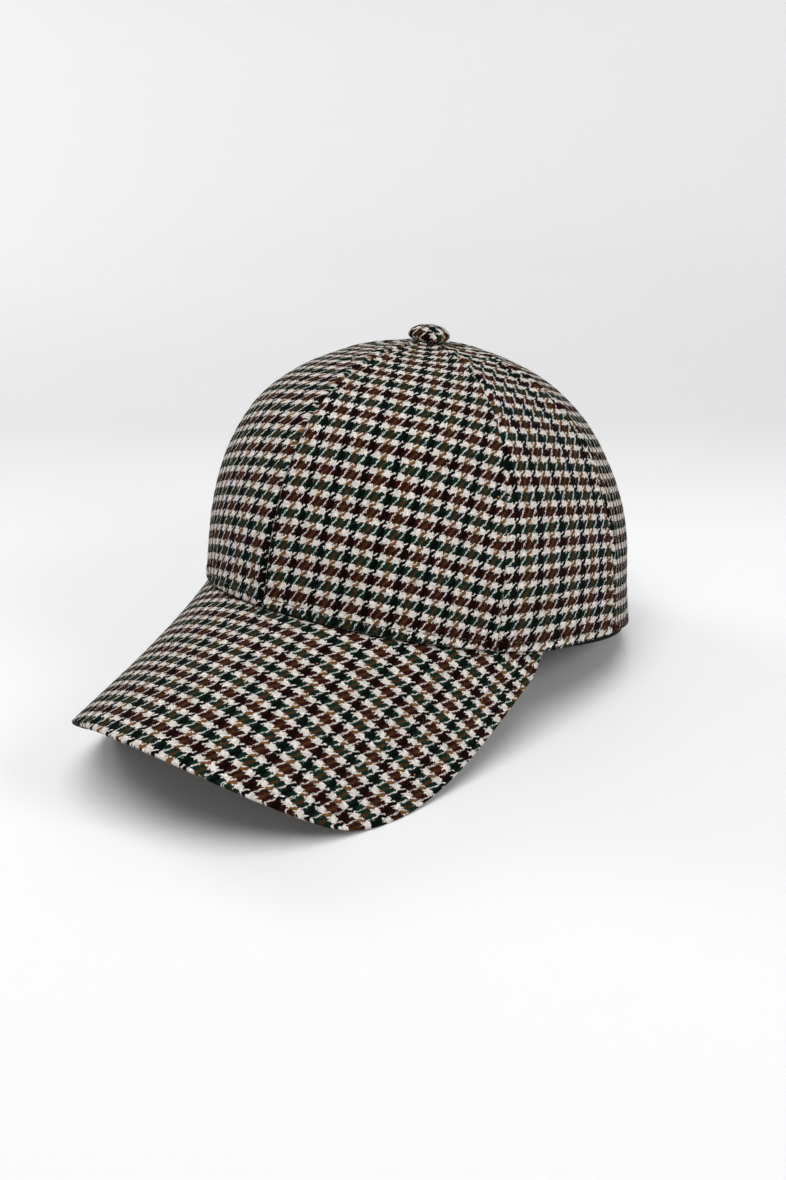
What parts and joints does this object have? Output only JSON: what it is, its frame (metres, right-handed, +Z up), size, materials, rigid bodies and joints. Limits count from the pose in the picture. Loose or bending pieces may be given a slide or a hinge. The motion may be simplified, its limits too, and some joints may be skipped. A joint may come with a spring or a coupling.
{
  "type": "peaked winter cap",
  "caption": "Winter cap of checked wool with a rounded panelled crown, covered button, curved peak and inner sweatband, resting on a surface.",
  "frame": {"origin": "middle of the cap's base, on the surface it rests on", "axes": "+Z up, front of the cap and its peak along -Y, the wearer's left +X"},
  "size_m": [0.1604, 0.2828, 0.1507],
  "materials": {
    "checked_wool": "woollen twill in a small check of off-white, black, tan, maroon and bottle green, slightly fuzzy",
    "band_cloth": "plain dark woven cotton, matt"
  },
  "bodies": {
    "root": {"panel_front_left": "checked_wool", "panel_front_right": "checked_wool", "panel_side_left": "checked_wool", "panel_side_right": "checked_wool", "panel_back_left": "checked_wool", "panel_back_right": "checked_wool", "button": "checked_wool", "peak_top": "checked_wool", "peak_under": "checked_wool", "sweatband": "band_cloth"}
  },
  "joints": []
}
